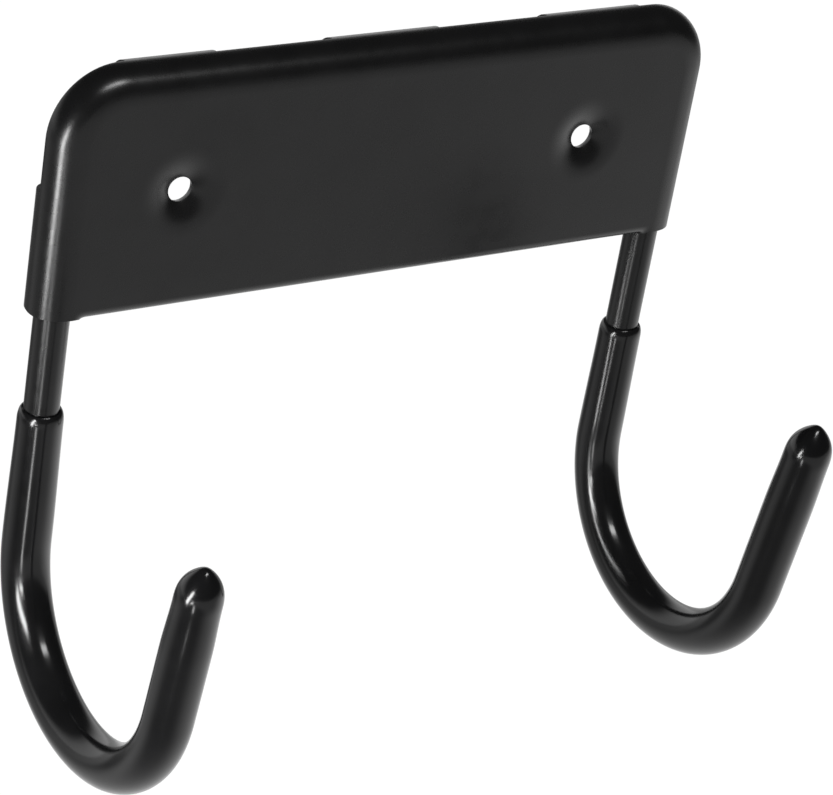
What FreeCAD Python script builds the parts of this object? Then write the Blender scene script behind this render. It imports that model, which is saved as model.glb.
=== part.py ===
"""Double garage hook: a formed steel plate rolled over one bent rod whose two hooks are vinyl dipped.

Frame: +X right as seen from the room, +Y into the wall, +Z up, millimetres.
The origin is midway between the two screw holes, on the rear plane of their dimpled rims.
"""
import FreeCAD, Part
import math
import os

import Sketcher

V = FreeCAD.Vector

# Driving dimensions, millimetres and degrees
SIZES = {
    # bent rod
    "rod_diameter": 8.0,
    "leg_spacing": 159.0,
    "frame_corner_radius": 10.0,
    "crossbar_rise": 24.2,
    "straight_leg_length": 108.7,
    "hook_bend_radius": 33.5,
    "hook_bend_angle": 171.4,
    "left_arm_length": 40.3,
    "right_arm_length": 45.7,
    "rod_tip_cone_length": 3.6,
    "rod_tip_flat_diameter": 2.0,
    # formed plate
    "sheet_thickness": 1.6,
    "rod_clearance": 0.3,
    "flange_wrap_angle": 96.0,
    "tab_wrap_angle": 190.0,
    "roll_end_drop": 26.7,
    "lip_bottom_drop": 27.3,
    "lip_depth": 6.0,
    "lip_inside_radius": 1.0,
    "lip_end_inset": 5.3,
    "left_tab_start": -68.5,
    "left_tab_width": 22.0,
    "middle_tab_start": -17.5,
    "middle_tab_width": 28.0,
    "right_tab_start": 40.0,
    "right_tab_width": 26.0,
    "side_tab_length": 27.8,
    # screw holes
    "hole_spacing": 106.5,
    "hole_diameter": 5.8,
    "dimple_diameter": 20.0,
    "dimple_depth": 3.1,
    # vinyl dip
    "coat_top_diameter": 10.3,
    "coat_bend_diameter": 11.4,
    "coat_tip_diameter": 10.8,
    "coat_edge_round": 0.5,
    "coat_cap_thickness": 1.3,
    "coat_cone_length": 4.6,
    "coat_nose_diameter": 3.2,
    "coat_nose_round": 2.0,
    "coat_shoulder_round": 2.4,
    "left_coat_drop": 75.4,
    "right_coat_drop": 78.8,
}

# Places and radii that several pieces share, in the terms of the sheet
ROD_RADIUS = "(sizes.rod_diameter / 2)"
LEG_X = "(sizes.leg_spacing / 2)"
ROLL_INSIDE = f"({ROD_RADIUS} + sizes.rod_clearance)"
ROLL_OUTSIDE = f"({ROLL_INSIDE} + sizes.sheet_thickness)"
FACE_REAR_Y = "(-sizes.dimple_depth)"
FACE_FRONT_Y = f"({FACE_REAR_Y} - sizes.sheet_thickness)"
ROD_Y = f"({FACE_FRONT_Y} + {ROLL_OUTSIDE})"
BEND_START_Z = "(sizes.crossbar_rise - sizes.straight_leg_length)"
ROLL_END_Z = "(-sizes.roll_end_drop)"
LIP_BOTTOM_Z = "(-sizes.lip_bottom_drop)"
LIP_OUTSIDE = "(sizes.lip_inside_radius + sizes.sheet_thickness)"

# Where the bend of a hook ends and its straight arm begins
ARM_START_Y = f"({ROD_Y} - sizes.hook_bend_radius * (1 - cos(sizes.hook_bend_angle)))"
ARM_START_Z = f"({BEND_START_Z} - sizes.hook_bend_radius * sin(sizes.hook_bend_angle))"
ARM_LEAN = "(180 - sizes.hook_bend_angle)"

START = 1
END = 2
CENTRE = 3

doc = FreeCAD.newDocument("garage_hook")
sheet = doc.addObject("Spreadsheet::Sheet", "sizes")
for row, (alias, size) in enumerate(SIZES.items(), start=1):
    sheet.set(f"A{row}", alias.replace("_", " "))
    sheet.set(f"B{row}", str(size))
    sheet.setAlias(f"B{row}", alias)
doc.recompute()


def number(expression):
    """The present value of an expression of the sheet."""
    found = sheet.evalExpression(expression)
    return float(getattr(found, "Value", found))


class Outline:
    """A sketch on one of a body's own planes, with every point bound to the sheet."""

    def __init__(self, body, plane, label, shift=("0", "0", "0"), turn="0"):
        self.sketch = body.newObject("Sketcher::SketchObject", label)
        origin = [f for f in body.Origin.OriginFeatures if f.Role == plane][0]
        self.sketch.AttachmentSupport = [(origin, "")]
        self.sketch.MapMode = "FlatFace"
        spin = FreeCAD.Rotation(V(0, 0, 1), number(turn))
        self.sketch.AttachmentOffset = FreeCAD.Placement(V(*[number(d) for d in shift]), spin)
        for axis, distance in zip("xyz", shift):
            self.sketch.setExpression(f".AttachmentOffset.Base.{axis}", distance)
        if turn != "0":
            self.sketch.setExpression(".AttachmentOffset.Rotation.Angle", turn)

    def bind(self, expression, kind, *place):
        """Add a constraint whose value follows the sheet."""
        index = self.sketch.addConstraint(Sketcher.Constraint(kind, *place, number(expression)))
        self.sketch.setExpression(f"Constraints[{index}]", expression)

    def pin(self, piece, point, place):
        """Hold a point of a piece of the outline at its place."""
        self.bind(place[0], "DistanceX", piece, point)
        self.bind(place[1], "DistanceY", piece, point)

    def circle(self, centre, radius):
        """A full circle."""
        middle = V(number(centre[0]), number(centre[1]), 0)
        piece = self.sketch.addGeometry(Part.Circle(middle, V(0, 0, 1), number(radius)), False)
        self.pin(piece, CENTRE, centre)
        self.bind(radius, "Radius", piece)

    def chain(self, points, arcs=None, closed=True):
        """Lines and arcs from point to point; arcs maps a step to its radius and centre."""
        arcs = arcs or {}
        places = [V(number(x), number(y), 0) for x, y in points]
        steps = len(points) if closed else len(points) - 1
        ends = []
        for step in range(steps):
            a = places[step]
            b = places[(step + 1) % len(points)]
            if step not in arcs:
                piece = self.sketch.addGeometry(Part.LineSegment(a, b), False)
                ends.append((piece, START, END))
                continue
            radius, centre = arcs[step]
            c = V(number(centre[0]), number(centre[1]), 0)
            forwards = (b - a).cross(c - a).z > 0
            first, last = (a, b) if forwards else (b, a)
            angles = [math.atan2(p.y - c.y, p.x - c.x) for p in (first, last)]
            circle = Part.Circle(c, V(0, 0, 1), number(radius))
            piece = self.sketch.addGeometry(Part.ArcOfCircle(circle, *angles), False)
            ends.append((piece, START, END) if forwards else (piece, END, START))
        for step, (piece, near, far) in enumerate(ends):
            self.pin(piece, near, points[step])
            if step in arcs:
                self.bind(arcs[step][0], "Radius", piece)
            if closed or step + 1 < steps:
                following, start, _ = ends[(step + 1) % steps]
                self.sketch.addConstraint(Sketcher.Constraint("Coincident", piece, far, following, start))
            else:
                self.pin(piece, far, points[-1])


def new_body(label):
    """An empty body that carries one piece."""
    body = doc.addObject("PartDesign::Body", label)
    body.Label = label
    return body


def pad(body, outline, label, length):
    """Grow an outline along its plane's normal."""
    doc.recompute()
    feature = body.newObject("PartDesign::Pad", label)
    feature.Profile = outline.sketch
    feature.setExpression("Length", length)
    doc.recompute()
    return feature


def pocket(body, outline, label, depth):
    """Cut an outline against its plane's normal."""
    doc.recompute()
    before = body.Shape.Volume
    feature = body.newObject("PartDesign::Pocket", label)
    feature.Profile = outline.sketch
    feature.setExpression("Length", depth)
    doc.recompute()
    if not feature.Shape.Volume < before:
        raise RuntimeError(f"{label} cut nothing")
    return feature


def revolve(body, outline, label, axis="V_Axis", angle="360", backwards=False):
    """Turn an outline about an axis of its own sketch."""
    doc.recompute()
    feature = body.newObject("PartDesign::Revolution", label)
    feature.Profile = outline.sketch
    feature.ReferenceAxis = (outline.sketch, [axis])
    feature.Reversed = backwards
    feature.setExpression("Angle", angle)
    doc.recompute()
    return feature


def pipe(body, outline, path, label):
    """Carry an outline along a path."""
    doc.recompute()
    feature = body.newObject("PartDesign::AdditivePipe", label)
    feature.Profile = outline.sketch
    feature.Spine = (path.sketch, [f"Edge{n + 1}" for n in range(len(path.sketch.Shape.Edges))])
    doc.recompute()
    return feature


def round_rim(body, label, rims, radius):
    """Fillet the circular edges of the given radii and centres."""
    doc.recompute()
    base = body.Tip
    names = []
    for n, edge in enumerate(base.Shape.Edges, start=1):
        if not isinstance(edge.Curve, Part.Circle):
            continue
        for rim_radius, centre in rims:
            near = edge.Curve.Center.distanceToPoint(centre) < 0.01
            if near and abs(edge.Curve.Radius - rim_radius) < 0.01:
                names.append(f"Edge{n}")
    if not names:
        raise RuntimeError(f"{label} found no edge")
    feature = body.newObject("PartDesign::Fillet", label)
    feature.Base = (base, names)
    feature.setExpression("Radius", radius)
    doc.recompute()
    return feature


def frame_path(body, label, low_end):
    """Up the left leg, over the crossbar and down the right leg, on the rod's axis."""
    path = Outline(body, "XZ_Plane", label, shift=("0", "0", f"-{ROD_Y}"))
    corner = "sizes.frame_corner_radius"
    top = "sizes.crossbar_rise"
    turn_z = f"{top} - {corner}"
    turn_x = f"{LEG_X} - {corner}"
    points = [
        (f"-{LEG_X}", low_end),
        (f"-{LEG_X}", turn_z),
        (f"-({turn_x})", top),
        (turn_x, top),
        (LEG_X, turn_z),
        (LEG_X, low_end),
    ]
    arcs = {
        1: (corner, (f"-({turn_x})", turn_z)),
        3: (corner, (turn_x, turn_z)),
    }
    path.chain(points, arcs, closed=False)
    return path


def arm_sketch(body, label, side):
    """A sketch whose upright axis is the axis of a hook's straight arm, from where the bend ends."""
    return Outline(body, "YZ_Plane", label, shift=(ARM_START_Y, ARM_START_Z, f"{side}{LEG_X}"), turn=ARM_LEAN)


def make_wire_frame():
    """One steel rod bent into crossbar, corners, legs and two hooks with coned tips."""
    body = new_body("wire_frame")
    path = frame_path(body, "rod_path", BEND_START_Z)
    section = Outline(body, "XY_Plane", "rod_section", shift=("0", "0", BEND_START_Z))
    section.circle((f"-{LEG_X}", ROD_Y), ROD_RADIUS)
    pipe(body, section, path, "legs_and_crossbar")
    for side, name in (("-", "left"), ("", "right")):
        bend_axis_y = f"{ROD_Y} - sizes.hook_bend_radius"
        ring = Outline(body, "XY_Plane", f"{name}_bend_section", shift=("0", bend_axis_y, BEND_START_Z))
        ring.circle((f"{side}{LEG_X}", "sizes.hook_bend_radius"), ROD_RADIUS)
        revolve(body, ring, f"{name}_bend", "H_Axis", "sizes.hook_bend_angle", backwards=True)
        arm = arm_sketch(body, f"{name}_arm_profile", side)
        length = f"sizes.{name}_arm_length"
        points = [
            ("0", "0"),
            (ROD_RADIUS, "0"),
            (ROD_RADIUS, f"{length} - sizes.rod_tip_cone_length"),
            ("sizes.rod_tip_flat_diameter / 2", length),
            ("0", length),
        ]
        arm.chain(points)
        revolve(body, arm, f"{name}_arm")
    return body


def make_vinyl_dip(side, name):
    """The vinyl over one hook: thin at its upper edge, thickest round the bend, closed over the tip."""
    body = new_body(f"{name}_vinyl_dip")
    leg_x = f"{side}{LEG_X}"
    bend_radius = "sizes.coat_bend_diameter / 2"
    top_z = f"(sizes.crossbar_rise - sizes.{name}_coat_drop)"

    shank = Outline(body, "XZ_Plane", f"{name}_shank_profile", shift=(leg_x, "0", f"-{ROD_Y}"))
    shank.chain([
        (ROD_RADIUS, BEND_START_Z),
        (bend_radius, BEND_START_Z),
        ("sizes.coat_top_diameter / 2", top_z),
        (ROD_RADIUS, top_z),
    ])
    revolve(body, shank, f"{name}_shank_coat")

    bend_axis_y = f"{ROD_Y} - sizes.hook_bend_radius"
    ring = Outline(body, "XY_Plane", f"{name}_ring", shift=("0", bend_axis_y, BEND_START_Z))
    ring.circle((leg_x, "sizes.hook_bend_radius"), bend_radius)
    ring.circle((leg_x, "sizes.hook_bend_radius"), ROD_RADIUS)
    revolve(body, ring, f"{name}_bend_coat", "H_Axis", "sizes.hook_bend_angle", backwards=True)

    arm = arm_sketch(body, f"{name}_arm_coat_profile", side)
    rod_end = f"sizes.{name}_arm_length"
    nose = f"({rod_end} + sizes.coat_cap_thickness)"
    shoulder = f"({nose} - sizes.coat_cone_length)"
    arm.chain([
        (ROD_RADIUS, "0"),
        (bend_radius, "0"),
        ("sizes.coat_tip_diameter / 2", shoulder),
        ("sizes.coat_nose_diameter / 2", nose),
        ("0", nose),
        ("0", rod_end),
        ("sizes.rod_tip_flat_diameter / 2", rod_end),
        (ROD_RADIUS, f"{rod_end} - sizes.rod_tip_cone_length"),
    ])
    revolve(body, arm, f"{name}_arm_coat")

    rod_y = number(ROD_Y)
    top_rim = (number("sizes.coat_top_diameter / 2"), V(number(leg_x), rod_y, number(top_z)))
    round_rim(body, f"{name}_edge_round", [top_rim], "sizes.coat_edge_round")
    lean = math.radians(number(ARM_LEAN))
    along = V(0, -math.sin(lean), math.cos(lean))
    foot = V(number(leg_x), number(ARM_START_Y), number(ARM_START_Z))
    shoulder_rim = (number("sizes.coat_tip_diameter / 2"), foot + along * number(shoulder))
    round_rim(body, f"{name}_shoulder_round", [shoulder_rim], "sizes.coat_shoulder_round")
    nose_rim = (number("sizes.coat_nose_diameter / 2"), foot + along * number(nose))
    round_rim(body, f"{name}_nose_round", [nose_rim], "sizes.coat_nose_round")
    return body


def round_right_leg(radius, angle):
    """A point round the right leg, seen from above, at an angle turned from straight ahead."""
    return f"{radius} * sin({angle})", f"{ROD_Y} - {radius} * cos({angle})"


def round_left_leg(radius, angle):
    """The same point round the left leg, where the sheet turns the other way."""
    outward, depth = round_right_leg(radius, angle)
    return f"-{outward}", depth


def round_crossbar(radius, angle):
    """The same point round the crossbar, seen along it."""
    outward, depth = round_right_leg(radius, angle)
    return depth, f"sizes.crossbar_rise + {outward}"


def make_tab(body, name, plane, place, shift, width):
    """A stretch of flange carried on round the back of the rod."""
    outline = Outline(body, plane, f"{name}_profile", shift=shift)
    begin = "sizes.flange_wrap_angle"
    finish = "sizes.tab_wrap_angle"
    points = [
        place(ROLL_INSIDE, begin),
        place(ROLL_OUTSIDE, begin),
        place(ROLL_OUTSIDE, finish),
        place(ROLL_INSIDE, finish),
    ]
    centre = place("0", begin)
    outline.chain(points, {1: (ROLL_OUTSIDE, centre), 3: (ROLL_INSIDE, centre)})
    pad(body, outline, name, width)


def make_dimple(body, side, name):
    """A soft funnel pressed towards the wall, steepest at the screw hole in its middle."""
    hole_x = f"{side}(sizes.hole_spacing / 2)"
    disc = Outline(body, "XZ_Plane", f"{name}_dimple_disc", shift=(hole_x, "0", f"-{FACE_FRONT_Y}"))
    disc.circle(("0", "0"), "sizes.dimple_diameter / 2")
    pocket(body, disc, f"{name}_dimple_room", "sizes.sheet_thickness")

    hole = "(sizes.hole_diameter / 2)"
    rim = "(sizes.dimple_diameter / 2)"
    run = f"({rim} - {hole})"
    rear_sweep = f"(({run} ^ 2 + sizes.dimple_depth ^ 2) / (2 * sizes.dimple_depth))"
    front_sweep = f"({rear_sweep} + sizes.sheet_thickness)"
    centre = (rim, f"{FACE_REAR_Y} + {rear_sweep}")
    funnel = Outline(body, "XY_Plane", f"{name}_dimple_profile", shift=(hole_x, "0", "0"))
    points = [
        (rim, FACE_FRONT_Y),
        (hole, f"{centre[1]} - sqrt({front_sweep} ^ 2 - {run} ^ 2)"),
        (hole, f"{FACE_REAR_Y} + sizes.dimple_depth"),
        (rim, FACE_REAR_Y),
    ]
    funnel.chain(points, {0: (front_sweep, centre), 2: (rear_sweep, centre)})
    revolve(body, funnel, f"{name}_dimple")


def make_back_plate():
    """One sheet: flat face that rolls over the frame on three sides, with tabs behind and a lip below."""
    body = new_body("back_plate")
    path = frame_path(body, "roll_path", ROLL_END_Z)
    roll = Outline(body, "XY_Plane", "roll_profile", shift=(f"-{LEG_X}", "0", ROLL_END_Z))
    wrap = "sizes.flange_wrap_angle"
    rod = ("0", ROD_Y)
    points = [
        ("0", FACE_REAR_Y),
        round_left_leg(ROLL_INSIDE, wrap),
        round_left_leg(ROLL_OUTSIDE, wrap),
        ("0", FACE_FRONT_Y),
    ]
    roll.chain(points, {0: (ROLL_INSIDE, rod), 2: (ROLL_OUTSIDE, rod)})
    pipe(body, roll, path, "rolled_edge")

    top = "sizes.crossbar_rise"
    corner = "sizes.frame_corner_radius"
    lip_end = f"({LEG_X} - sizes.lip_end_inset)"
    bend_z = f"({LIP_BOTTOM_Z} + {LIP_OUTSIDE})"
    face = Outline(body, "XZ_Plane", "face_outline", shift=("0", "0", f"-{FACE_REAR_Y}"))
    points = [
        (f"-{LEG_X}", ROLL_END_Z),
        (f"-{LEG_X}", f"{top} - {corner}"),
        (f"-({LEG_X} - {corner})", top),
        (f"{LEG_X} - {corner}", top),
        (LEG_X, f"{top} - {corner}"),
        (LEG_X, ROLL_END_Z),
        (lip_end, ROLL_END_Z),
        (lip_end, bend_z),
        (f"-{lip_end}", bend_z),
        (f"-{lip_end}", ROLL_END_Z),
    ]
    arcs = {
        1: (corner, (f"-({LEG_X} - {corner})", f"{top} - {corner}")),
        3: (corner, (f"{LEG_X} - {corner}", f"{top} - {corner}")),
    }
    face.chain(points, arcs)
    pad(body, face, "flat_face", "sizes.sheet_thickness")

    lip = Outline(body, "YZ_Plane", "lip_profile", shift=("0", "0", f"-{lip_end}"))
    bend = (f"{FACE_FRONT_Y} + {LIP_OUTSIDE}", bend_z)
    points = [
        (FACE_FRONT_Y, bend_z),
        (bend[0], LIP_BOTTOM_Z),
        (f"{FACE_FRONT_Y} + sizes.lip_depth", LIP_BOTTOM_Z),
        (f"{FACE_FRONT_Y} + sizes.lip_depth", f"{LIP_BOTTOM_Z} + sizes.sheet_thickness"),
        (bend[0], f"{LIP_BOTTOM_Z} + sizes.sheet_thickness"),
        (FACE_REAR_Y, bend_z),
    ]
    lip.chain(points, {0: (LIP_OUTSIDE, bend), 4: ("sizes.lip_inside_radius", bend)})
    pad(body, lip, "bottom_lip", f"2 * {lip_end}")

    for name in ("left", "middle", "right"):
        shift = ("0", "0", f"sizes.{name}_tab_start")
        make_tab(body, f"{name}_top_tab", "YZ_Plane", round_crossbar, shift, f"sizes.{name}_tab_width")
    for sign, name, place in (("-", "left", round_left_leg), ("", "right", round_right_leg)):
        shift = (f"{sign}{LEG_X}", "0", ROLL_END_Z)
        make_tab(body, f"{name}_side_tab", "XY_Plane", place, shift, "sizes.side_tab_length")
        make_dimple(body, sign, name)
    return body


def check_and_write(bodies):
    """Stop on any failed object, then write each piece under its own name."""
    doc.recompute()
    for item in doc.Objects:
        if "Invalid" in item.State or "Error" in item.State:
            raise RuntimeError(f"{item.Label} failed: {item.State}")
    for body in bodies:
        if body.Shape.isNull() or not body.Shape.isValid() or len(body.Shape.Solids) != 1:
            raise RuntimeError(f"{body.Label} is not one valid solid")
    os.makedirs("parts", exist_ok=True)
    for body in bodies:
        body.Shape.exportStep(f"parts/{body.Label}.step")
        box = body.Shape.BoundBox
        print(
            f"{body.Label}: volume {body.Shape.Volume:.1f} mm3, "
            f"x {box.XMin:.2f} to {box.XMax:.2f}, y {box.YMin:.2f} to {box.YMax:.2f}, "
            f"z {box.ZMin:.2f} to {box.ZMax:.2f}"
        )


pieces = [
    make_back_plate(),
    make_wire_frame(),
    make_vinyl_dip("-", "left"),
    make_vinyl_dip("", "right"),
]
check_and_write(pieces)
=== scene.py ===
"""Double garage utility hook: a painted plate rolled over a bent rod, with a vinyl dip on each hook.

Everything is in metres in the part's own frame: +X to the right as seen from the room, +Y into
the wall, +Z up, and the origin midway between the two screw holes.
"""
from __future__ import annotations

import logging
import math
from dataclasses import dataclass, field, replace
from enum import Enum

import bmesh
import bpy
from mathutils import Matrix, Quaternion, Vector, noise
from mathutils.geometry import delaunay_2d_cdt


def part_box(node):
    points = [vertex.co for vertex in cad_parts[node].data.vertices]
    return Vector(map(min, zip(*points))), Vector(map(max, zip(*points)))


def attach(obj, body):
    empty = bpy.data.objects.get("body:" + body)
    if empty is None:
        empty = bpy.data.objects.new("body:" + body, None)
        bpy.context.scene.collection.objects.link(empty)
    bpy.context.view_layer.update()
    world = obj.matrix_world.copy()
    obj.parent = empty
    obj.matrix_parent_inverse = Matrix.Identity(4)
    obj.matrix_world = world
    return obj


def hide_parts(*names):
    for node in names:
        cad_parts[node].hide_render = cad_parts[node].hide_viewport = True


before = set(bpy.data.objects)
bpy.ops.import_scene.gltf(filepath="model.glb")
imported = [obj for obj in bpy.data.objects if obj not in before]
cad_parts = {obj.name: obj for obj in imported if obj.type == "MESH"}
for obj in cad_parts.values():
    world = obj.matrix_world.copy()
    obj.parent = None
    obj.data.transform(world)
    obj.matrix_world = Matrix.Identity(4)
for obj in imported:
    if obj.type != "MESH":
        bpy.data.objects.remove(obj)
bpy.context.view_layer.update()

LOG = logging.getLogger("garage_hook")

X_AXIS = Vector((1, 0, 0))
Y_AXIS = Vector((0, 1, 0))
Z_AXIS = Vector((0, 0, 1))
MM = 0.001
QUARTER = math.pi / 2

Material = bpy.types.Material
Piece = bpy.types.Object
Shape = bmesh.types.BMesh
Vert = bmesh.types.BMVert
Tree = bpy.types.NodeTree
Socket = bpy.types.NodeSocket
Pair = tuple[float, float]
Triple = tuple[float, float, float]

# Widest spacing of rings along a line: in metres on straight runs, in radians on bends.
ROD_SPACING = (6 * MM, math.radians(4))
BORE_SPACING = (8 * MM, math.radians(5))
COAT_SPACING = (1.6 * MM, math.radians(2.5))
ROLL_SPACING = (3 * MM, math.radians(5))

# How many steps each shape is drawn in, and how far apart the points on the flat are.
EDGE_STEPS = 12
TIP_STEPS = 48
SHOULDER_STEPS = 7
FLANGE_STEPS = 30
TAB_STEPS = 18
TAB_CORNER_STEPS = 6
LIP_BEND_STEPS = 8
LIP_REACH_STEPS = 2
LIP_FADE_STEPS = 12
LIP_STEPS = 36
FUNNEL_STEPS = 18
FUNNEL_SIDES = 64
PITCH = 4 * MM

# Places closer than the first count as one place; the second is for rounding alone.
CLOSE = 0.01 * MM
TINY = 1e-7


class Side(Enum):
    """The two hooks, by the sign of X on which they stand."""

    LEFT = -1
    RIGHT = 1


@dataclass(frozen=True)
class Station:
    """A place on a centre line.

    Attributes:
        point: Where it is.
        along: The way the line runs there, a unit vector.
    """

    point: Vector
    along: Vector


@dataclass(frozen=True)
class Stretch:
    """A straight run, or an arc about a centre, of a centre line.

    Attributes:
        start: How far along the line it begins.
        length: Its own length.
        first: The station at its beginning.
        centre: The middle of the arc, or None on a straight run.
        axis: What the arc turns about, or None on a straight run.
    """

    start: float
    length: float
    first: Station
    centre: Vector | None = None
    axis: Vector | None = None

    def at(self, reach: float) -> Station:
        """The station at a distance from the line's own beginning.

        Args:
            reach: Distance along the whole line.

        Returns:
            The place and the direction there.
        """
        gone = reach - self.start
        if self.centre is None or self.axis is None:
            return Station(self.first.point + self.first.along * gone, self.first.along)
        arm = self.first.point - self.centre
        turn = Matrix.Rotation(gone / arm.length, 3, self.axis)
        return Station(self.centre + turn @ arm, turn @ self.first.along)


@dataclass
class Centreline:
    """A line of straight runs and tangent arcs, drawn as a pen would draw it.

    Attributes:
        pen: Where the line ends so far, and its direction there.
        length: How long it is so far.
        stretches: Its runs and arcs, in order.
    """

    pen: Station
    length: float = 0.0
    stretches: list[Stretch] = field(default_factory=list)

    def run(self, length: float) -> Centreline:
        """Go straight on, and return the line itself."""
        self.stretches.append(Stretch(self.length, length, self.pen))
        return self._advance(length)

    def turn(self, towards: Vector, radius: float, angle: float) -> Centreline:
        """Bend towards a direction.

        Args:
            towards: Direction of the arc's centre, square to the line.
            radius: Radius of the arc.
            angle: How far it turns, in radians.

        Returns:
            The line itself.
        """
        centre = self.pen.point + towards * radius
        axis = self.pen.along.cross(towards).normalized()
        self.stretches.append(Stretch(self.length, radius * angle, self.pen, centre, axis))
        return self._advance(radius * angle)

    def _advance(self, length: float) -> Centreline:
        """Move the pen to the end of the newest stretch."""
        self.length += length
        self.pen = self.stretches[-1].at(self.length)
        return self

    def at(self, reach: float) -> Station:
        """The station at a distance from the beginning; the last stretch runs on past its end."""
        stretch = next((s for s in self.stretches if reach <= s.start + s.length), self.stretches[-1])
        return stretch.at(reach)

    def marks(self, straight_step: float, arc_step: float) -> list[float]:
        """Distances along the line at which a skin needs a ring.

        Args:
            straight_step: Widest spacing on a straight run.
            arc_step: Widest turn between two rings on an arc, in radians.

        Returns:
            The distances, from the beginning to the end.
        """
        found = [0.0]
        for stretch in self.stretches:
            if stretch.centre is None:
                count = max(1, math.ceil(stretch.length / straight_step))
            else:
                radius = (stretch.first.point - stretch.centre).length
                count = max(1, math.ceil(stretch.length / radius / arc_step))
            found += [stretch.start + stretch.length * n / count for n in range(1, count + 1)]
        return found


def smooth_step(share: float) -> float:
    """Ease from 0 to 1 as a share goes from 0 to 1."""
    held = min(1.0, max(0.0, share))
    return held * held * (3 - 2 * held)


def eased(knots: list[Pair], place: float) -> float:
    """Read a value off a short list of knots, easing from each one to the next.

    Args:
        knots: Pairs of place and value, in order of place.
        place: Where the value is wanted.

    Returns:
        The value there, which stays level past the first and last knots.
    """
    if place <= knots[0][0]:
        return knots[0][1]
    for (low, first), (high, second) in zip(knots, knots[1:]):
        if place <= high:
            return first + (second - first) * smooth_step((place - low) / (high - low))
    return knots[-1][1]


def new_piece(name: str, shape: Shape, material: Material) -> Piece:
    """Turn a finished shape into a smooth object with one material.

    Args:
        name: Name of the object.
        shape: The shape, which is used up.
        material: Its finish.

    Returns:
        The new object, linked to the scene.
    """
    bmesh.ops.recalc_face_normals(shape, faces=shape.faces)
    mesh = bpy.data.meshes.new(name)
    shape.to_mesh(mesh)
    shape.free()
    mesh.shade_smooth()
    mesh.materials.append(material)
    piece = bpy.data.objects.new(name, mesh)
    bpy.context.scene.collection.objects.link(piece)
    return piece


def skin(line: Centreline, rings: list[Pair], sides: int) -> Shape:
    """Draw a round skin along a centre line, with a cap at each end.

    Args:
        line: The line that the skin follows.
        rings: Distance along the line and radius of each ring; they may turn back.
        sides: Points in a ring.

    Returns:
        The closed shape.
    """
    shape = bmesh.new()
    angles = [2 * math.pi * n / sides for n in range(sides)]
    loops = []
    heading = None
    for reach, radius in rings:
        station = line.at(reach)
        if heading is None:
            across = X_AXIS if abs(station.along.x) < 0.5 else Y_AXIS
        else:
            across = heading.rotation_difference(station.along) @ across
        heading = station.along
        beside = heading.cross(across)
        spokes = [across * math.cos(a) + beside * math.sin(a) for a in angles]
        loops.append([shape.verts.new(station.point + spoke * radius) for spoke in spokes])
    shape.faces.new(loops[0])
    shape.faces.new(list(reversed(loops[-1])))
    for near, far in zip(loops, loops[1:]):
        for n in range(sides):
            after = (n + 1) % sides
            shape.faces.new((near[n], near[after], far[after], far[n]))
    return shape


def join(shape: Shape, columns: list[list[Vert]]) -> None:
    """Fill between columns of points, with a fan at the last point of a shorter one.

    Args:
        shape: The sheet so far.
        columns: The columns, side by side.
    """
    for near, far in zip(columns, columns[1:]):
        for n in range(max(len(near), len(far)) - 1):
            corners = []
            for column, place in ((near, n), (far, n), (far, n + 1), (near, n + 1)):
                corner = column[min(place, len(column) - 1)]
                if corner not in corners:
                    corners.append(corner)
            shape.faces.new(corners)


def add_node(tree: Tree, kind: str, inputs: dict[str | int, object], **settings: str) -> bpy.types.Node:
    """Add a shader node with its inputs filled in.

    Args:
        tree: The nodes that it joins.
        kind: Its kind, which Blender writes after "ShaderNode".
        inputs: A value, or a socket of another node, for each input by its name or number.
        settings: The node's own settings.

    Returns:
        The new node.
    """
    node = tree.nodes.new("ShaderNode" + kind)
    for name, value in settings.items():
        setattr(node, name, value)
    for name, value in inputs.items():
        if isinstance(value, Socket):
            tree.links.new(value, node.inputs[name])
        else:
            node.inputs[name].default_value = value
    return node


def own_space(tree: Tree) -> Socket:
    """The place on the surface, in the object's own space."""
    return add_node(tree, "TexCoord", {}).outputs["Object"]


def combine(tree: Tree, operation: str, first: Socket, second: Socket | float) -> Socket:
    """The outcome of a piece of arithmetic on two numbers."""
    return add_node(tree, "Math", {0: first, 1: second}, operation=operation).outputs["Value"]


def blend(tree: Tree, share: Socket, none: object, full: object, kind: str = "FLOAT") -> Socket:
    """Go from one value to another, or with kind RGBA one colour to another, as a share grows to 1."""
    return add_node(tree, "Mix", {"Factor": share, "A": none, "B": full}, data_type=kind).outputs["Result"]


def remap(tree: Tree, value: Socket, reach: Pair, result: Pair, pace: str = "SMOOTHSTEP") -> Socket:
    """Go from one result to the other as a value goes from end to end of its reach."""
    ends = {"From Min": reach[0], "From Max": reach[1], "To Min": result[0], "To Max": result[1]}
    return add_node(tree, "MapRange", {"Value": value, **ends}, interpolation_type=pace).outputs["Result"]


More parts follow.
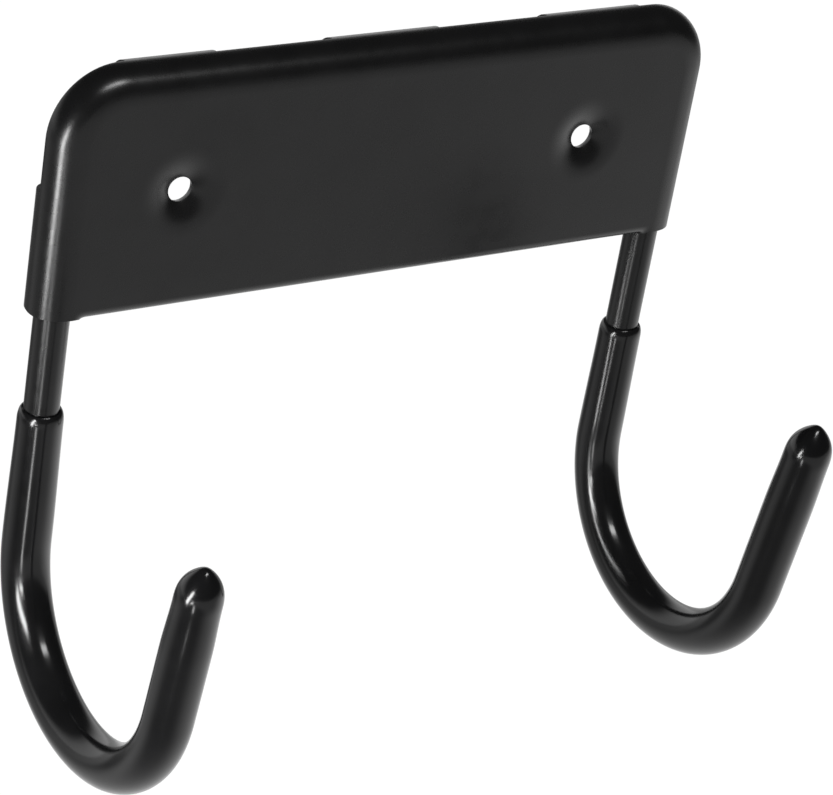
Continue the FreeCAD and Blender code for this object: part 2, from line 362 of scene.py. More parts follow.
@dataclass(frozen=True)
class Finish:
    """What every finish shares.

    Attributes:
        name: Name of the material.
        colour: Mean base colour.
        mottle: Share by which the colour varies.
        roughness: Lowest and highest roughness.
        grain: Size of the fine grain, in metres.
        swell: Size of the slow waves.
        swell_height: Height of the slow waves.
        grain_height: Height of the fine grain.
        patches: How many patches of even polish lie across a wave.
        noise_middle: The part of a noise that fills a range.
    """

    name: str
    colour: Triple
    mottle: float
    roughness: Pair
    grain: float
    swell: float
    swell_height: float
    grain_height: float = 0.000003
    patches: float = 3
    noise_middle: Pair = (0.3, 0.7)

    def noise_field(self, tree: Tree, size: float, detail: float) -> Socket:
        """A noise in the object's own space, by the size of a feature and the octaves of finer noise."""
        inputs = {"Scale": 1 / size, "Detail": detail, "Vector": own_space(tree)}
        return add_node(tree, "TexNoise", inputs).outputs["Fac"]

    def spread(self, tree: Tree, value: Socket, ends: Pair) -> Socket:
        """Spread the middle of a noise evenly over a range."""
        return remap(tree, value, self.noise_middle, ends, "LINEAR")

    def bump(self, tree: Tree, height: Socket, distance: float, under: Socket | None) -> Socket:
        """Raise a height over what lies under it.

        Args:
            tree: The material's nodes.
            height: The height, from 0 to 1.
            distance: What a height of 1 measures, in metres.
            under: The normal that it builds on, if any.

        Returns:
            The new normal.
        """
        inputs = {"Distance": distance, "Height": height}
        if under is not None:
            inputs["Normal"] = under
        return add_node(tree, "Bump", inputs).outputs["Normal"]

    def marks(self, tree: Tree, under: Socket) -> Socket:
        """Add what lies over the grain; a plain finish has nothing there."""
        return under

    def build(self) -> Material:
        """Make the material.

        Returns:
            The new material.
        """
        material = bpy.data.materials.new(self.name)
        material.use_nodes = True
        tree = material.node_tree
        dark, light = ((*[c * (1 + way * self.mottle) for c in self.colour], 1) for way in (-1, 1))
        mottling = self.spread(tree, self.noise_field(tree, self.swell, detail=3), (0.0, 1.0))
        polish = self.noise_field(tree, self.swell / self.patches, detail=4)
        slow = self.bump(tree, self.noise_field(tree, self.swell, detail=1), self.swell_height, None)
        fine = self.bump(tree, self.noise_field(tree, self.grain, detail=2), self.grain_height, slow)
        shader = tree.nodes["Principled BSDF"]
        tree.links.new(blend(tree, mottling, dark, light, "RGBA"), shader.inputs["Base Color"])
        tree.links.new(self.spread(tree, polish, self.roughness), shader.inputs["Roughness"])
        tree.links.new(self.marks(tree, fine), shader.inputs["Normal"])
        return material


@dataclass(frozen=True)
class PowderCoat(Finish):
    """Satin powder coat, with a nib of caught dust here and there.

    Attributes:
        nib_spacing: Mean distance between nibs.
        nib_size: Width of a nib.
        nib_height: Height of a nib.
    """

    nib_spacing: float = 0.04
    nib_size: float = 0.0006
    nib_height: float = 0.00004

    def marks(self, tree: Tree, under: Socket) -> Socket:
        """Raise the nibs over the grain."""
        cells = add_node(tree, "TexVoronoi", {"Scale": 1 / self.nib_spacing, "Vector": own_space(tree)})
        foot = self.nib_size / self.nib_spacing / 2
        dome = remap(tree, cells.outputs["Distance"], (0.0, foot), (1.0, 0.0))
        return self.bump(tree, dome, self.nib_height, under)


PLATE_PAINT = PowderCoat(
    name="satin_black_plate",
    colour=(0.006, 0.006, 0.0062),
    mottle=0.18,
    roughness=(0.25, 0.30),
    grain=0.0009,
    swell=0.012,
    swell_height=0.00002,
)
ROD_PAINT = replace(
    PLATE_PAINT,
    name="satin_black_rod",
    roughness=(0.22, 0.28),
    grain=0.0007,
    swell=0.008,
    swell_height=0.00001,
)
VINYL = Finish(
    name="glossy_black_vinyl",
    colour=(0.0055, 0.0055, 0.0058),
    mottle=0.20,
    roughness=(0.16, 0.20),
    grain=0.0012,
    swell=0.011,
    swell_height=0.00005,
)


@dataclass
class Rod:
    """The bent steel rod: crossbar, two corners, two legs and two hooks with coned tips.

    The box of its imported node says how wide, deep and high it stands; the rest is stated here.

    Attributes:
        radius: Radius of the rod.
        corner_radius: Radius of the two upper corners, on the axis.
        bend_radius: Radius of the hooks, on the axis.
        bend_start: Height at which the legs begin to bend.
        bend_angle: How far a hook turns, in radians.
        left_arm: Length of the left hook's straight arm.
        right_arm: Length of the right hook's straight arm.
        cone_length: Length of the cone on each end.
        tip_radius: Radius of the flat at each end.
        crease: Turn above which an edge stays sharp, in radians.
        sides: Points round the rod.
    """

    radius: float = 4 * MM
    corner_radius: float = 10 * MM
    bend_radius: float = 33.5 * MM
    bend_start: float = -84.5 * MM
    bend_angle: float = math.radians(171.4)
    left_arm: float = 40.3 * MM
    right_arm: float = 45.7 * MM
    cone_length: float = 3.6 * MM
    tip_radius: float = 1 * MM
    crease: float = math.radians(40)
    sides: int = 48

    def __post_init__(self) -> None:
        """Read the rod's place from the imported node."""
        _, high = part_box("wire_frame")
        self.leg_x: float = high.x - self.radius
        self.axis_y: float = high.y - self.radius
        self.crossbar_z: float = high.z - self.radius

    def hook_line(self, side: Side, top_z: float) -> Centreline:
        """The axis of one leg and hook, from a height down to the rod's end.

        Args:
            side: Which hook.
            top_z: Height at which the line begins.

        Returns:
            The line, which runs down the leg and up the arm.
        """
        start = Vector((side.value * self.leg_x, self.axis_y, top_z))
        line = Centreline(Station(start, -Z_AXIS))
        line.run(top_z - self.bend_start)
        line.turn(-Y_AXIS, self.bend_radius, self.bend_angle)
        return line.run(self.left_arm if side is Side.LEFT else self.right_arm)

    def go_over(self, line: Centreline, foot_z: float) -> Centreline:
        """Draw up the left leg, along the crossbar and down the right leg.

        Args:
            line: A line that ends on the left leg and points up.
            foot_z: Height at which it does so, and at which it ends on the right leg.

        Returns:
            The line itself.
        """
        rise = self.crossbar_z - self.corner_radius - foot_z
        line.run(rise)
        line.turn(X_AXIS, self.corner_radius, QUARTER)
        line.run(2 * (self.leg_x - self.corner_radius))
        line.turn(-Z_AXIS, self.corner_radius, QUARTER)
        return line.run(rise)

    def whole_line(self) -> Centreline:
        """The axis of the whole rod, from the left tip to the right one.

        Returns:
            The line.
        """
        lean = math.pi - self.bend_angle
        into_hook = Vector((0, math.sin(lean), -math.cos(lean)))
        tip = self.hook_line(Side.LEFT, self.crossbar_z).pen.point
        line = Centreline(Station(tip, into_hook))
        line.run(self.left_arm)
        line.turn(X_AXIS.cross(into_hook), self.bend_radius, self.bend_angle)
        self.go_over(line, self.bend_start)
        line.turn(-Y_AXIS, self.bend_radius, self.bend_angle)
        return line.run(self.right_arm)

    def build(self, material: Material) -> Piece:
        """Make the rod.

        Args:
            material: Its finish.

        Returns:
            The rod's object.
        """
        line = self.whole_line()
        ends = (self.cone_length, line.length - self.cone_length)
        rings = [(0.0, self.tip_radius), (ends[0], self.radius)]
        rings += [(reach, self.radius) for reach in line.marks(*ROD_SPACING) if ends[0] < reach < ends[1]]
        rings += [(ends[1], self.radius), (line.length, self.tip_radius)]
        piece = new_piece("bent_rod", skin(line, rings, self.sides), material)
        piece.data.set_sharp_from_angle(angle=self.crease)
        return piece


@dataclass
class VinylDip:
    """The thick vinyl over one hook, from a rounded upper edge to over the coned tip.

    Attributes:
        rod: The rod that it covers.
        side: Which hook.
        drop: Distance of the upper edge below the crossbar's axis.
        widths: Diameter at each of the width places.
        cap: Thickness over the rod's end.
        width_places: Shares of the length from the upper edge to the tip's shoulder.
        edge_length: Length of the rounded upper edge.
        edge_room: Length from the top that is left to its own rings.
        edge_skin: Thickness at the top.
        edge_wave: How far the upper edge wanders up and down.
        edge_fade: How far down the wander dies out.
        edge_lobes: How quickly it changes round the rod.
        edge_seed: Where in the noise it is read.
        leg_room: How far from its axis a point belongs to the leg.
        nose: How quickly the blunt apex goes over into the cone, along the surface.
        cone: The cone's lean from the rod's axis, in radians.
        cone_end: Distance down the surface at which the shoulder begins.
        shoulder_end: Distance at which it ends.
        sink: How far the inner face lies inside the rod's surface.
        sides: Points round the dip.
    """

    rod: Rod
    side: Side
    drop: float
    widths: list[float]
    cap: float
    width_places: tuple[float, ...] = (0.0, 0.2, 0.45, 0.92, 1.0)
    edge_length: float = 2.8 * MM
    edge_room: float = 3.36 * MM
    edge_skin: float = 0.25 * MM
    edge_wave: float = 0.25 * MM
    edge_fade: float = 3 * MM
    edge_lobes: float = 1.8
    edge_seed: float = 3.1
    leg_room: float = 8 * MM
    nose: float = 0.85 * MM
    cone: float = math.radians(42)
    cone_end: float = 2.1 * MM
    shoulder_end: float = 9.6 * MM
    sink: float = 0.1 * MM
    sides: int = 72

    def tip_profile(self, radius: float) -> list[Pair]:
        """Go from the apex over the blunt nose, down the cone and round the soft shoulder.

        Args:
            radius: Radius at the end of the shoulder.

        Returns:
            Distance back from the apex and radius of each ring, from the apex.
        """
        pace = self.shoulder_end / TIP_STEPS
        back, out = 0.0, 0.0
        found = []
        for n in range(TIP_STEPS):
            gone = pace * (n + 0.5)
            lean = self.cone + (QUARTER - self.cone) * math.exp(-gone / self.nose)
            lean *= 1 - smooth_step((gone - self.cone_end) / (self.shoulder_end - self.cone_end))
            back += pace * math.cos(lean)
            out += pace * math.sin(lean)
            found.append((back, out))
        scale = radius / out
        return [(back * scale, out * scale) for back, out in found]

    def radius_at(self, share: float) -> float:
        """Radius at a share of the length from the upper edge to the tip's shoulder."""
        return eased(list(zip(self.width_places, self.widths)), share) / 2

    def build(self, material: Material) -> Piece:
        """Make the dip.

        Args:
            material: Its finish.

        Returns:
            The dip's object.
        """
        rod = self.rod
        top_z = rod.crossbar_z - self.drop
        line = rod.hook_line(self.side, top_z)
        rod_end = line.length
        line.run(self.cap)
        apex = line.length
        tip = self.tip_profile(self.widths[-1] / 2)
        shoulder = apex - tip[-1][0]
        inside = rod.radius - self.sink
        cone = rod_end - rod.cone_length
        rings = [(rod_end, rod.tip_radius), (cone, inside)]
        rings += [(reach, inside) for reach in reversed(line.marks(*BORE_SPACING)) if 0 < reach < cone]
        rings.append((0.0, inside))
        edge = rod.radius + self.edge_skin
        for n in range(1, EDGE_STEPS + 1):
            turn = QUARTER * n / EDGE_STEPS
            drop = self.edge_length * (1 - math.cos(turn))
            rings.append((drop, edge + (self.radius_at(drop / shoulder) - edge) * math.sin(turn)))
        for reach in line.marks(*COAT_SPACING):
            if self.edge_room < reach < shoulder - CLOSE:
                rings.append((reach, self.radius_at(reach / shoulder)))
        rings += [(apex - back, radius) for back, radius in reversed(tip)]
        shape = skin(line, rings, self.sides)
        self.wander(shape, top_z)
        return new_piece(f"{self.side.name.lower()}_hook_vinyl", shape, material)

    def wander(self, shape: Shape, top_z: float) -> None:
        """Let the upper edge wander up and down, as that of a dipped coat does.

        Args:
            shape: The dip.
            top_z: Height of the upper edge.
        """
        seed = Vector((self.side.value * self.edge_seed, 0, 0))
        leg = Vector((self.side.value * self.rod.leg_x, self.rod.axis_y, 0))
        for vert in shape.verts:
            fade = 1 - smooth_step((top_z - vert.co.z) / self.edge_fade)
            if fade > 0 and abs(vert.co.y - leg.y) < self.leg_room:
                around = Vector((vert.co.x - leg.x, vert.co.y - leg.y, 0)).normalized()
                vert.co.z += self.edge_wave * fade * noise.noise(around * self.edge_lobes + seed)


@dataclass
class FormedPlate:
    """The stamped sheet: flat face, rolled edge with tabs, turned lip, two screw holes in funnels.

    Attributes:
        rod: The rod that the sheet is rolled over.
        thickness: Thickness of the painted sheet.
        clearance: Room between the rod and the roll.
        side_tab_slack: How far a side tab bulges between the flange and the back.
        shoulder_radius: Radius of the looser bend between the flat and the roll.
        shoulder_turn: How far that bend turns, in radians.
        flange_wrap: How far the roll goes round the rod, in radians from straight ahead.
        tab_wrap: How far a tab goes round it.
        roll_end_z: Height of the roll's lower ends.
        lip_reach: Length of the lip past its bend.
        lip_bend: Outside radius of the lip's bend.
        lip_fade: Length over which the lip dies out towards each roll.
        top_tabs: Start and width of the tabs over the crossbar, on X.
        side_tab: Height of the tab on each leg, from the lower edge.
        tab_corner: Radius of a tab's free corners.
        tab_margin: Share of it beside a tab that is kept clear of other columns.
        hole_spacing: Distance between the screw holes.
        hole_radius: Radius of a screw hole.
        funnel_radius: Radius of the funnel round a hole.
        funnel_drop: Depth of the funnel at the hole, on its front face.
        funnel_flare: How much steeper it grows towards the hole; 1 is a plain cone.
        hole_shift: How far the holes lie off their true places, on X and Z.
        edge_round: Radius of the paint over a cut edge.
        edge_steps: Steps in which it is rounded.
        cut_angle: Turn above which an edge counts as cut, in radians.
    """

    rod: Rod
    thickness: float = 1.6 * MM
    clearance: float = 0.29 * MM
    side_tab_slack: float = 0.45 * MM
    shoulder_radius: float = 14 * MM
    shoulder_turn: float = math.radians(14)
    flange_wrap: float = math.radians(96)
    tab_wrap: float = math.radians(190)
    roll_end_z: float = -26.7 * MM
    lip_reach: float = 3.4 * MM
    lip_bend: float = 2.6 * MM
    lip_fade: float = 4.4 * MM
    top_tabs: tuple[Pair, ...] = ((-68.5 * MM, 22 * MM), (-17.5 * MM, 28 * MM), (40 * MM, 26 * MM))
    side_tab: float = 27.8 * MM
    tab_corner: float = 2.5 * MM
    tab_margin: float = 0.3
    hole_spacing: float = 106.5 * MM
    hole_radius: float = 2.9 * MM
    funnel_radius: float = 11 * MM
    funnel_drop: float = 2.0 * MM
    funnel_flare: float = 2.3
    hole_shift: Pair = (-0.8 * MM, 0.7 * MM)
    edge_round: float = 0.28 * MM
    edge_steps: int = 3
    cut_angle: float = math.radians(50)

    def __post_init__(self) -> None:
        """Work out what follows from the rod and the sheet."""
        low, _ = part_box("back_plate")
        self.lip_start_z: float = low.z + self.lip_bend
        self.roll_radius: float = self.rod.radius + self.clearance + self.thickness
        self.front_y: float = self.rod.axis_y + self.round_shoulder(0.0)[1]

    def round_rod(self, turn: float) -> Pair:
        """Outward and depth offsets of the outer face at a turn from straight ahead."""
        return self.roll_radius * math.sin(turn), -self.roll_radius * math.cos(turn)

    def round_shoulder(self, turn: float) -> Pair:
        """The same on the looser bend, which meets the roll where its own turn ends."""
        slack = self.shoulder_radius - self.roll_radius
        middle = (-slack * math.sin(self.shoulder_turn), slack * math.cos(self.shoulder_turn))
        outward = middle[0] + self.shoulder_radius * math.sin(turn)
        return outward, middle[1] - self.shoulder_radius * math.cos(turn)

    def roll_line(self) -> Centreline:
        """The rod's axis from the plate's lower left corner, over the top, to the lower right."""
        start = Vector((-self.rod.leg_x, self.rod.axis_y, self.roll_end_z))
        return self.rod.go_over(Centreline(Station(start, Z_AXIS)), self.roll_end_z)

    def roll_profile(self) -> list[Pair]:
        """The section from the flat to the roll's free edge, as outward and depth offsets.

        Returns:
            The points of the outer face, from the flat outwards.
        """
        first, last = self.shoulder_turn, self.flange_wrap
        loose = [self.round_shoulder(first * n / SHOULDER_STEPS) for n in range(SHOULDER_STEPS)]
        turns = [first + (last - first) * n / FLANGE_STEPS for n in range(FLANGE_STEPS + 1)]
        return loose + [self.round_rod(turn) for turn in turns]

    def tab_spans(self, length: float) -> list[Pair]:
        """Start and end of each tab along the roll, in order."""
        top = [(length / 2 + start, length / 2 + start + width) for start, width in self.top_tabs]
        return [(0.0, self.side_tab), *top, (length - self.side_tab, length)]

    def column_marks(self, line: Centreline, spans: list[Pair]) -> list[float]:
        """Distances along the roll at which it needs a column.

        Args:
            line: The roll's line.
            spans: Its tabs, whose rounded corners need columns close together.

        Returns:
            The distances, in order.
        """
        turns = [QUARTER * n / TAB_CORNER_STEPS for n in range(TAB_CORNER_STEPS + 1)]
        near = [self.tab_corner * (1 - math.cos(turn)) for turn in turns]
        marks = line.marks(*ROLL_SPACING)
        for low, high in spans:
            for edge, inner in ((low, low + self.tab_corner), (high, high - self.tab_corner)):
                first, last = sorted((edge + (edge - inner) * self.tab_margin, inner))
                marks = [m for m in marks if not first < m < last]
            marks += [low + d for d in near] + [high - d for d in near]
        marks += self.lip_marks() + [line.length - m for m in self.lip_marks()]
        marks.sort()
        return [m for n, m in enumerate(marks) if n == 0 or m - marks[n - 1] > 2 * CLOSE]

    def lip_marks(self) -> list[float]:
        """Distances from the roll's end, up to where the lip's bend begins."""
        height = self.lip_start_z - self.roll_end_z
        return [height * n / LIP_BEND_STEPS for n in range(LIP_BEND_STEPS + 1)]

    def tab_reach(self, span: Pair, mark: float) -> float:
        """How far round the rod a tab goes at one of its columns.

        Args:
            span: Start and end of the tab.
            mark: Distance of the column along the roll.

        Returns:
            The angle from straight ahead.
        """
        beside = min(mark - span[0], span[1] - mark)
        short = max(0.0, self.tab_corner - beside)
        cut = self.tab_corner - math.sqrt(max(0.0, self.tab_corner**2 - short**2))
        return self.tab_wrap - cut / self.roll_radius

    def hole_middle(self, side: Side) -> Vector:
        """Where a hole is on the face, as X and Z."""
        return Vector((side.value * self.hole_spacing / 2, 0)) + Vector(self.hole_shift)

    def funnel_depth(self, radius: float) -> float:
        """Depth of the funnel's front face at a distance from the hole's middle."""
        inset = (self.funnel_radius - radius) / (self.funnel_radius - self.hole_radius)
        return self.funnel_drop * inset**self.funnel_flare

    def build(self, material: Material) -> Piece:
        """Make the plate.

        Args:
            material: Its finish.

        Returns:
            The plate's object.
        """
        shape = bmesh.new()
        edge = self.add_roll(shape)
        foot = self.add_lip(shape, edge)
        funnels = [self.add_funnel(shape, self.hole_middle(side)) for side in Side]
        rim = [v for v in edge if v.co.z > self.lip_start_z - CLOSE]
        self.add_flat(shape, rim + list(reversed(foot)), [rings[-1] for rings in funnels])
        self.thicken(shape, [v for rings in funnels for v in rings[0]])
        piece = new_piece("formed_plate", shape, material)
        self.round_edges(piece)
        return piece

    def add_roll(self, shape: Shape) -> list[Vert]:
        """Draw the rolled edge and its tabs.

        Args:
            shape: The sheet so far.

        Returns:
            The points where the roll meets the flat, from lower left to lower right.
        """
        line = self.roll_line()
        spans = self.tab_spans(line.length)
        marks = self.column_marks(line, spans)
        profile = self.roll_profile()
        columns = []
        for mark in marks:
            station = line.at(mark)
            outward = station.along.cross(Y_AXIS)
            columns.append([shape.verts.new(station.point + outward * o + Y_AXIS * d) for o, d in profile])
        join(shape, columns)
        for span in spans:
            edge = [(m, c[-1]) for m, c in zip(marks, columns) if span[0] - TINY <= m <= span[1] + TINY]
            self.add_tab(shape, line, span, edge)
        return [column[0] for column in columns]

    def add_tab(self, shape: Shape, line: Centreline, span: Pair, edge: list[tuple[float, Vert]]) -> None:
        """Carry the flange on round the back of the rod over one span.

        Args:
            shape: The sheet so far.
            line: The roll's line.
            span: Start and end of the tab along it.
            edge: Distance and point of each column's end within the span.
        """
        beside = span[0] <= 0 or span[1] >= line.length
        slack = self.side_tab_slack if beside else 0.0
        columns = []
        for mark, root in edge:
            station = line.at(mark)
            outward = station.along.cross(Y_AXIS)
            swept = self.tab_reach(span, mark) - self.flange_wrap
            column = [root]
            for n in range(1, TAB_STEPS + 1):
                turn = self.flange_wrap + swept * n / TAB_STEPS
                share = min(1.0, (turn - self.flange_wrap) / (math.pi - self.flange_wrap))
                bulge = 1 + slack / self.roll_radius * math.sin(math.pi * share) ** 2
                o, d = self.round_rod(turn)
                column.append(shape.verts.new(station.point + (outward * o + Y_AXIS * d) * bulge))
            columns.append(column)
        join(shape, columns)

    def add_lip(self, shape: Shape, edge: list[Vert]) -> list[Vert]:
        """Turn the lower edge back between the rolls; near them it dies out.

        Args:
            shape: The sheet so far.
            edge: Where the roll meets the flat, from lower left to lower right.

        Returns:
            The lip's first row between the rolls, from left to right.
        """
        low = [v for v in edge if v.co.z < self.lip_start_z + CLOSE]
        left = [v for v in reversed(low) if v.co.x < 0]
        right = [v for v in low if v.co.x > 0]
        end_x = left[0].co.x
        height = self.lip_start_z - self.roll_end_z
        full_arc = self.lip_bend * QUARTER
        places = [self.lip_fade * (n / LIP_FADE_STEPS) for n in range(1, LIP_FADE_STEPS + 1)]
        span = -2 * end_x - 2 * self.lip_fade
        places += [self.lip_fade + span * n / LIP_STEPS for n in range(1, LIP_STEPS)]
        places += [-2 * end_x - p for p in reversed(places[:LIP_FADE_STEPS])]
        columns = [left]
        for place in places:
            near_end = min(place, -2 * end_x - place)
            share = smooth_step(near_end / self.lip_fade)
            turn = QUARTER * share
            arc = height + (full_arc - height) * share**2
            radius = arc / turn
            column = []
            for n in range(LIP_BEND_STEPS + 1):
                angle = turn * n / LIP_BEND_STEPS
                y = self.front_y + radius * (1 - math.cos(angle))
                column.append((y, self.lip_start_z - radius * math.sin(angle)))
            y, z = column[-1]
            for n in range(1, LIP_REACH_STEPS + 1):
                gone = self.lip_reach * share**2 * n / LIP_REACH_STEPS
                column.append((y + gone * math.sin(turn), z - gone * math.cos(turn)))
            columns.append([shape.verts.new((end_x + place, y, z)) for y, z in column])
        columns.append(right)
        join(shape, columns)
        return [column[0] for column in columns[1:-1]]

    def add_funnel(self, shape: Shape, middle: Vector) -> list[list[Vert]]:
        """Press one funnel with its screw hole.

        Args:
            shape: The sheet so far.
            middle: Where the hole is, as X and Z.

        Returns:
            The funnel's rings, from the hole outwards.
        """
        angles = [2 * math.pi * n / FUNNEL_SIDES for n in range(FUNNEL_SIDES)]
        rings = []
        for n in range(FUNNEL_STEPS + 1):
            radius = self.hole_radius + (self.funnel_radius - self.hole_radius) * n / FUNNEL_STEPS
            y = self.front_y + self.funnel_depth(radius)
            spokes = [Vector((math.cos(a), math.sin(a))) * radius + middle for a in angles]
            rings.append([shape.verts.new((spoke.x, y, spoke.y)) for spoke in spokes])
        join(shape, [ring + [ring[0]] for ring in rings])
        return rings

    def add_flat(self, shape: Shape, rim: list[Vert], rings: list[list[Vert]]) -> None:
        """Fill the flat between the roll, the lip and the funnels.

        Args:
            shape: The sheet so far.
            rim: Points round the outside, in order.
            rings: Points round each funnel, in order.
        """
        known = list(rim)
        loops = [list(range(len(rim)))]
        for ring in rings:
            loops.append(list(range(len(known), len(known) + len(ring))))
            known += ring
        edges = [(a, b) for loop in loops for a, b in zip(loop, loop[1:] + loop[:1])]
        flat = [Vector((v.co.x, v.co.z)) for v in known]
        low, high = (Vector([pick(line) for line in zip(*flat)]) for pick in (min, max))
        for across in range(1, int((high.x - low.x) / PITCH)):
            for up in range(1, int((high.y - low.y) / PITCH)):
                place = low + Vector((across, up)) * PITCH
                inside = low.x + PITCH < place.x < high.x - PITCH and place.y < high.y - PITCH
                if inside and self.clear_of_funnels(place, PITCH / 2):
                    flat.append(place)
        places, _, faces, origins, _, _ = delaunay_2d_cdt(flat, edges, [loops[0]], 1, TINY)
        verts = []
        for place, sources in zip(places, origins):
            source = sources[0] if sources else len(known)
            new = source >= len(known)
            verts.append(shape.verts.new((place.x, self.front_y, place.y)) if new else known[source])
        for face in faces:
            middle = sum((places[i] for i in face), Vector((0, 0))) / len(face)
            if self.clear_of_funnels(middle, -CLOSE):
                shape.faces.new([verts[i] for i in face])

    def clear_of_funnels(self, place: Vector, margin: float) -> bool:
        """Whether a place on the face lies outside both funnels by more than a margin."""
        return all((place - self.hole_middle(side)).length > self.funnel_radius + margin for side in Side)

    def thicken(self, shape: Shape, hole_edge: list[Vert]) -> None:
        """Give the sheet its rear face and its cut edges.

        Args:
            shape: The front face, which becomes the closed sheet.
            hole_edge: The front edges of the holes, whose walls lean half way to the hole's axis.
        """
        bmesh.ops.recalc_face_normals(shape, faces=shape.faces)
        flattest = max(shape.faces, key=lambda face: abs(face.normal.y) * face.calc_area())
        if flattest.normal.y > 0:
            bmesh.ops.reverse_faces(shape, faces=shape.faces)
        shape.normal_update()
        front = list(shape.faces)
        edges = [e for e in shape.edges if e.is_boundary]
        rear = {v: shape.verts.new(v.co - v.normal * self.thickness) for v in list(shape.verts)}
        for vert in hole_edge:
            straight = vert.co + Y_AXIS * self.thickness
            rear[vert].co = (rear[vert].co + straight) / 2
        for face in front:
            shape.faces.new([rear[v] for v in reversed(face.verts)])
        for edge in edges:
            loop = edge.link_loops[0]
            a, b = loop.vert, loop.link_loop_next.vert
            shape.faces.new((b, a, rear[a], rear[b]))

    def round_edges(self, piece: Piece) -> None:
        """Round the cut edges as the paint does, and keep the shading of the flat even.

        Args:
            piece: The closed sheet.
        """
        rounds = piece.modifiers.new("paint_over_edges", "BEVEL")
        rounds.width = self.edge_round
        rounds.segments = self.edge_steps
        rounds.limit_method = "ANGLE"
        rounds.angle_limit = self.cut_angle
        piece.modifiers.new("even_shading", "WEIGHTED_NORMAL").keep_sharp = True


@dataclass(frozen=True)
class Lamp:
    """A rectangular lamp that the camera doesn't see.

    Attributes:
        name: Name of the lamp.
        place: Its middle.
        aim: The point that it faces.
        size: Width and height.
        radiance: How bright its face is, where 1 is white.
        lean: How far it is turned about its own middle, in degrees.
    """

    name: str
    place: Triple
    aim: Triple
    size: Pair
    radiance: float
    lean: float = 0

    def hang(self) -> None:
        """Add the lamp to the scene."""
        lamp = bpy.data.lights.new(self.name, "AREA")
        lamp.shape = "RECTANGLE"
        lamp.size, lamp.size_y = self.size
        lamp.energy = self.radiance * math.pi * self.size[0] * self.size[1]
        holder = bpy.data.objects.new(self.name, lamp)
        holder.location = self.place
        facing = (Vector(self.aim) - Vector(self.place)).to_track_quat("-Z", "Y")
        holder.rotation_euler = (facing @ Quaternion(Z_AXIS, math.radians(self.lean))).to_euler()
        holder.visible_camera = False
        bpy.context.scene.collection.objects.link(holder)


# Down the left side, between the hooks, and a soft box over the front.
LAMPS = (
    Lamp("left_upper", (-0.276, -0.116, -0.056), (-0.085, 0, 0), (0.042, 0.150), 27, -24),
    Lamp("left_middle", (-0.26, -0.165, -0.110), (0.74, -0.165, -2.41), (0.034, 0.075), 60),
    Lamp("left_front", (-0.345, -0.284, -0.260), (-0.08, 0, -0.12), (0.036, 0.12), 11),
    Lamp("between_hooks", (0.0295, -0.0110, -0.082), (0.0702, 0.0804, -0.082), (0.0070, 0.044), 15, 22),
    Lamp("top_box", (0.03, -0.42, 0.52), (0, 0, 0), (0.30, 0.10), 16),
)


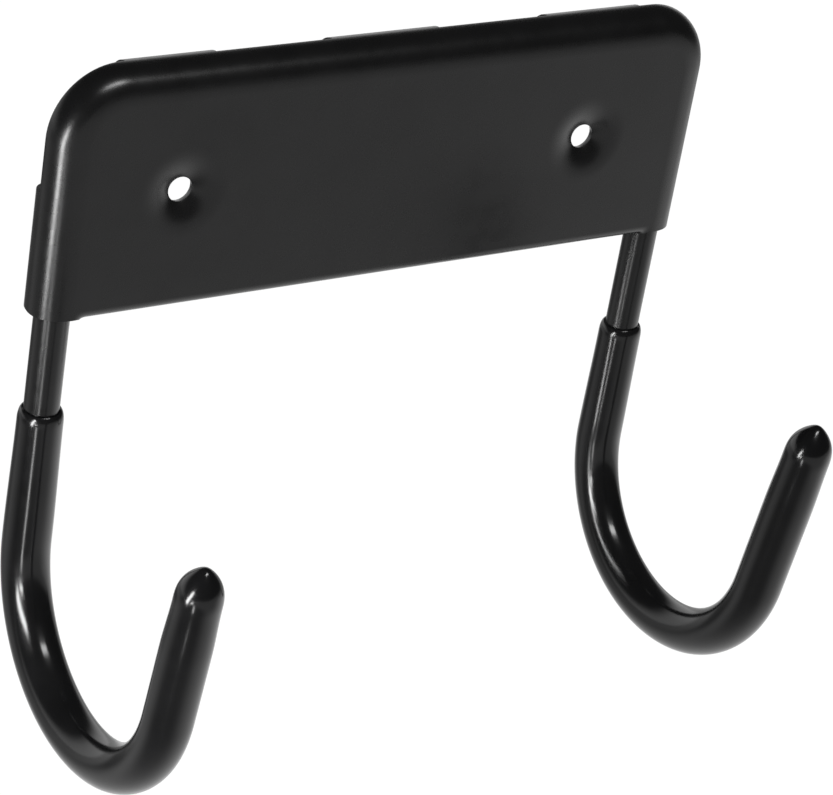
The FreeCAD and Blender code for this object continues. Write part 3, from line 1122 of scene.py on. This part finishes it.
@dataclass
class Studio:
    """Floor, background, lamps and camera.

    Attributes:
        floor_z: Height of the floor, well below the part.
        floor_size: Its width.
        floor_roughness: Its roughness.
        floor_glow: Share of its look that glows, to the camera and in the gloss.
        floor_white: How bright it looks to the camera.
        floor_light: How bright it looks in the gloss, away from its pools.
        pools: Middle, inner and outer radius, and added brightness of each pool on it: painted light above
            zero, painted shade below.
        room_light: How bright the surroundings are, except to the camera and in the gloss.
        screen_way: The way that the white screen behind the part lies from it.
        screen_ends: How far that way the screen begins and is full.
        screen_light: Brightness in the gloss off the screen and on it.
        lens: Focal length of the camera, in millimetres.
        camera_place: Where it stands.
        camera_across: The way to its right.
        camera_backward: The way behind it.
    """

    floor_z: float = -0.75
    floor_size: float = 12.0
    floor_roughness: float = 0.9
    floor_glow: float = 0.9
    floor_white: float = 1.1
    floor_light: float = 0.52
    # Painted light and shade on the floor, seen only in the gloss: a pool above zero is painted light, one
    # below zero painted shade.
    pools: tuple[tuple[Pair, float, float, float], ...] = (
        ((0.7, 0.3), 0.5, 1.5, 0.60),
        ((2.0, -0.6), 0.3, 1.5, 0.60),
        ((-3.0, 0.0), 1.0, 2.2, -0.42),
        ((-0.75, -0.5), 0.5, 1.1, -0.40),
        ((-0.4, 1.5), 0.3, 0.9, -0.42),
    )
    room_light: float = 0.35
    screen_way: Triple = (0, 1, -1.2)
    screen_ends: Pair = (0.15, 0.7)
    screen_light: Pair = (0.04, 1.0)
    lens: float = 143.83
    camera_place: Triple = (-0.3986, -0.54815, 0.30825)
    camera_across: Triple = (0.8322, -0.5336, 0.1508)
    camera_backward: Triple = (-0.5342, -0.6987, 0.4759)

    def add_floor(self) -> None:
        """Lay the pale floor: white to the camera, and in the gloss painted pools of light and shade."""
        shape = bmesh.new()
        bmesh.ops.create_grid(shape, x_segments=1, y_segments=1, size=self.floor_size / 2)
        material = bpy.data.materials.new("pale_floor")
        material.use_nodes = True
        tree = material.node_tree
        matt = tree.nodes["Principled BSDF"]
        matt.inputs["Roughness"].default_value = self.floor_roughness
        rays = add_node(tree, "LightPath", {}).outputs
        strength = blend(tree, rays["Is Camera Ray"], self.pool_light(tree), self.floor_white)
        glow = add_node(tree, "Emission", {"Strength": strength})
        seen = combine(tree, "MAXIMUM", rays["Is Camera Ray"], rays["Is Glossy Ray"])
        share = combine(tree, "MULTIPLY", seen, self.floor_glow)
        sockets = {0: share, 1: matt.outputs["BSDF"], 2: glow.outputs["Emission"]}
        mix = add_node(tree, "MixShader", sockets)
        tree.links.new(mix.outputs["Shader"], tree.nodes["Material Output"].inputs["Surface"])
        floor = new_piece("floor", shape, material)
        floor.location.z = self.floor_z

    def pool_light(self, tree: Tree) -> Socket:
        """Add up the painted pools of light and shade on the floor, which the gloss sees.

        Args:
            tree: The floor's nodes.

        Returns:
            How bright the floor looks in the gloss.
        """
        place = own_space(tree)
        total: Socket | float = self.floor_light
        for middle, inner, outer, light in self.pools:
            gap = add_node(tree, "VectorMath", {0: place, 1: (*middle, 0)}, operation="DISTANCE")
            pool = remap(tree, gap.outputs["Value"], (inner, outer), (light, 0.0))
            total = combine(tree, "ADD", pool, total)
        return total

    def add_world(self) -> None:
        """Surround the scene: white to the camera, to gloss a low white screen behind and dark above."""
        world = bpy.data.worlds.new("studio")
        bpy.context.scene.world = world
        world.use_nodes = True
        tree = world.node_tree
        way = add_node(tree, "TexCoord", {}).outputs["Generated"]
        lean = add_node(tree, "VectorMath", {0: way, 1: self.screen_way}, operation="DOT_PRODUCT")
        screen = remap(tree, lean.outputs["Value"], self.screen_ends, self.screen_light)
        rays = add_node(tree, "LightPath", {}).outputs
        light = blend(tree, rays["Is Glossy Ray"], self.room_light, screen)
        background = tree.nodes["Background"]
        background.inputs["Color"].default_value = (1, 1, 1, 1)
        tree.links.new(blend(tree, rays["Is Camera Ray"], light, 1.0), background.inputs["Strength"])

    def add_camera(self) -> None:
        """Stand the camera where the photograph was taken from."""
        lens = bpy.data.cameras.new("camera")
        lens.sensor_fit = "HORIZONTAL"
        lens.lens = self.lens
        camera = bpy.data.objects.new("camera", lens)
        backward = Vector(self.camera_backward).normalized()
        upward = backward.cross(Vector(self.camera_across).normalized()).normalized()
        turn = Matrix((upward.cross(backward), upward, backward)).transposed()
        camera.matrix_world = Matrix.Translation(self.camera_place) @ turn.to_4x4()
        bpy.context.scene.collection.objects.link(camera)
        bpy.context.scene.camera = camera

    def build(self) -> None:
        """Set up the whole studio."""
        bpy.context.scene.view_settings.view_transform = "Standard"
        self.add_floor()
        self.add_world()
        for lamp in LAMPS:
            lamp.hang()
        self.add_camera()


def dress(piece: Piece, node: str) -> None:
    """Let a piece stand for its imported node.

    Args:
        piece: The piece.
        node: The node that it replaces.
    """
    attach(piece, "root")
    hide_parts(node)
    LOG.info("%s stands for %s, %d faces", piece.name, node, len(piece.data.polygons))


def main() -> None:
    """Build the pieces in order, then the studio."""
    logging.basicConfig(level=logging.INFO, format="%(name)s: %(message)s")
    rod = Rod()
    rod_paint = ROD_PAINT.build()
    vinyl = VINYL.build()
    dress(FormedPlate(rod).build(PLATE_PAINT.build()), "back_plate")
    dress(rod.build(rod_paint), "wire_frame")
    widths = [width * MM for width in (10.3, 11.1, 11.38, 11.2, 10.5)]
    left = VinylDip(rod, Side.LEFT, drop=75.4 * MM, widths=widths, cap=1.1 * MM)
    widths = [width * MM for width in (10.3, 10.9, 11.3, 11.4, 10.9)]
    right = VinylDip(rod, Side.RIGHT, drop=78.8 * MM, widths=widths, cap=1.4 * MM)
    dress(left.build(vinyl), "left_vinyl_dip")
    dress(right.build(vinyl), "right_vinyl_dip")
    Studio().build()


if __name__ == "__main__":
    main()
